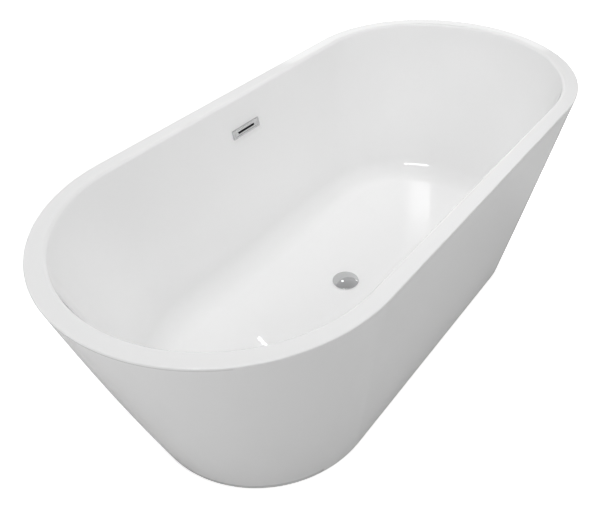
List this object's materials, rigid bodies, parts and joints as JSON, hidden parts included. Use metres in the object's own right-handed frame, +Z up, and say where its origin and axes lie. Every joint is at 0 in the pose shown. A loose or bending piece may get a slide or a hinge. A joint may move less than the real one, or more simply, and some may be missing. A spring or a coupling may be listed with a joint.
{
  "type": "freestanding bathtub",
  "caption": "Oval freestanding double-walled bathtub with a flat thin rim, tapering skirt, central push-to-open drain, slotted overflow and levelling feet.",
  "frame": {"origin": "on the floor under the centre of the tub", "axes": "+X along the tub's length, +Y across it towards the overflow, +Z up"},
  "size_m": [1.6986, 0.799, 0.6],
  "materials": {
    "acrylic_white": "polished white acrylic",
    "chrome": "mirror-bright plated",
    "zinc_steel": "zinc plated",
    "rubber_black": "matt moulded rubber",
    "pipe_white": "moulded polypropylene",
    "hose_grey": "flexible vinyl",
    "cap_black": "moulded plastic",
    "plywood": "sealed plywood",
    "brass": "turned brass"
  },
  "bodies": {
    "root": {"basin": "acrylic_white", "skirt": "acrylic_white", "drain_flange": "chrome", "overflow_cover": "chrome", "rail_front": "zinc_steel", "rail_rear": "zinc_steel", "cross_bar_outer_left": "zinc_steel", "cross_bar_outer_right": "zinc_steel", "cross_bar_inner_left": "zinc_steel", "cross_bar_inner_right": "zinc_steel", "frame_screws": "zinc_steel", "skirt_bracket_front_left": "zinc_steel", "skirt_bracket_front_right": "zinc_steel", "skirt_bracket_rear_left": "zinc_steel", "skirt_bracket_rear_right": "zinc_steel", "bracket_bolts": "zinc_steel", "weld_nuts": "zinc_steel", "lock_nuts": "zinc_steel", "hose_clip_upper": "zinc_steel", "hose_clip_lower": "zinc_steel", "drain_gasket": "rubber_black", "drain_washer": "rubber_black", "overflow_gasket": "rubber_black", "waste_tee": "pipe_white", "waste_union_nut": "pipe_white", "drain_back_nut": "pipe_white", "overflow_hose": "hose_grey", "overflow_body": "cap_black", "rail_end_caps": "cap_black", "base_board": "plywood", "drain_cartridge": "brass"},
    "plug": {"plug_cap": "chrome", "plug_seal": "rubber_black", "plug_spindle": "brass"},
    "foot_pad_front_left": {"foot_pad_front_left": "rubber_black"},
    "foot_stud_front_left": {"foot_stud_front_left": "zinc_steel"},
    "foot_pad_front_right": {"foot_pad_front_right": "rubber_black"},
    "foot_stud_front_right": {"foot_stud_front_right": "zinc_steel"},
    "foot_pad_rear_left": {"foot_pad_rear_left": "rubber_black"},
    "foot_stud_rear_left": {"foot_stud_rear_left": "zinc_steel"},
    "foot_pad_rear_right": {"foot_pad_rear_right": "rubber_black"},
    "foot_stud_rear_right": {"foot_stud_rear_right": "zinc_steel"}
  },
  "joints": [
    {"name": "plug_lift", "type": "slide", "parent": "root", "child": "plug", "axis": [0, 0, 1], "range_m": [0, 0.009]},
    {"name": "foot_front_left_extend", "type": "slide", "parent": "root", "child": "foot_pad_front_left", "axis": [0, 0, -1], "range_m": [-0.004, 0.02]},
    {"name": "foot_front_left_turn", "type": "hinge", "parent": "foot_pad_front_left", "child": "foot_stud_front_left", "pos_m": [-0.49, -0.185, 0.04], "axis": [0, 0, -1], "range_deg": [-825, 4120]},
    {"name": "foot_front_right_extend", "type": "slide", "parent": "root", "child": "foot_pad_front_right", "axis": [0, 0, -1], "range_m": [-0.004, 0.02]},
    {"name": "foot_front_right_turn", "type": "hinge", "parent": "foot_pad_front_right", "child": "foot_stud_front_right", "pos_m": [0.49, -0.185, 0.04], "axis": [0, 0, -1], "range_deg": [-825, 4120]},
    {"name": "foot_rear_left_extend", "type": "slide", "parent": "root", "child": "foot_pad_rear_left", "axis": [0, 0, -1], "range_m": [-0.004, 0.02]},
    {"name": "foot_rear_left_turn", "type": "hinge", "parent": "foot_pad_rear_left", "child": "foot_stud_rear_left", "pos_m": [-0.49, 0.185, 0.04], "axis": [0, 0, -1], "range_deg": [-825, 4120]},
    {"name": "foot_rear_right_extend", "type": "slide", "parent": "root", "child": "foot_pad_rear_right", "axis": [0, 0, -1], "range_m": [-0.004, 0.02]},
    {"name": "foot_rear_right_turn", "type": "hinge", "parent": "foot_pad_rear_right", "child": "foot_stud_rear_right", "pos_m": [0.49, 0.185, 0.04], "axis": [0, 0, -1], "range_deg": [-825, 4120]}
  ],
  "couplings": [
    {"joint": "foot_front_left_turn", "follows": "foot_front_left_extend", "rad_per_m": 3590.4},
    {"joint": "foot_front_right_turn", "follows": "foot_front_right_extend", "rad_per_m": 3590.4},
    {"joint": "foot_rear_left_turn", "follows": "foot_rear_left_extend", "rad_per_m": 3590.4},
    {"joint": "foot_rear_right_turn", "follows": "foot_rear_right_extend", "rad_per_m": 3590.4}
  ]
}
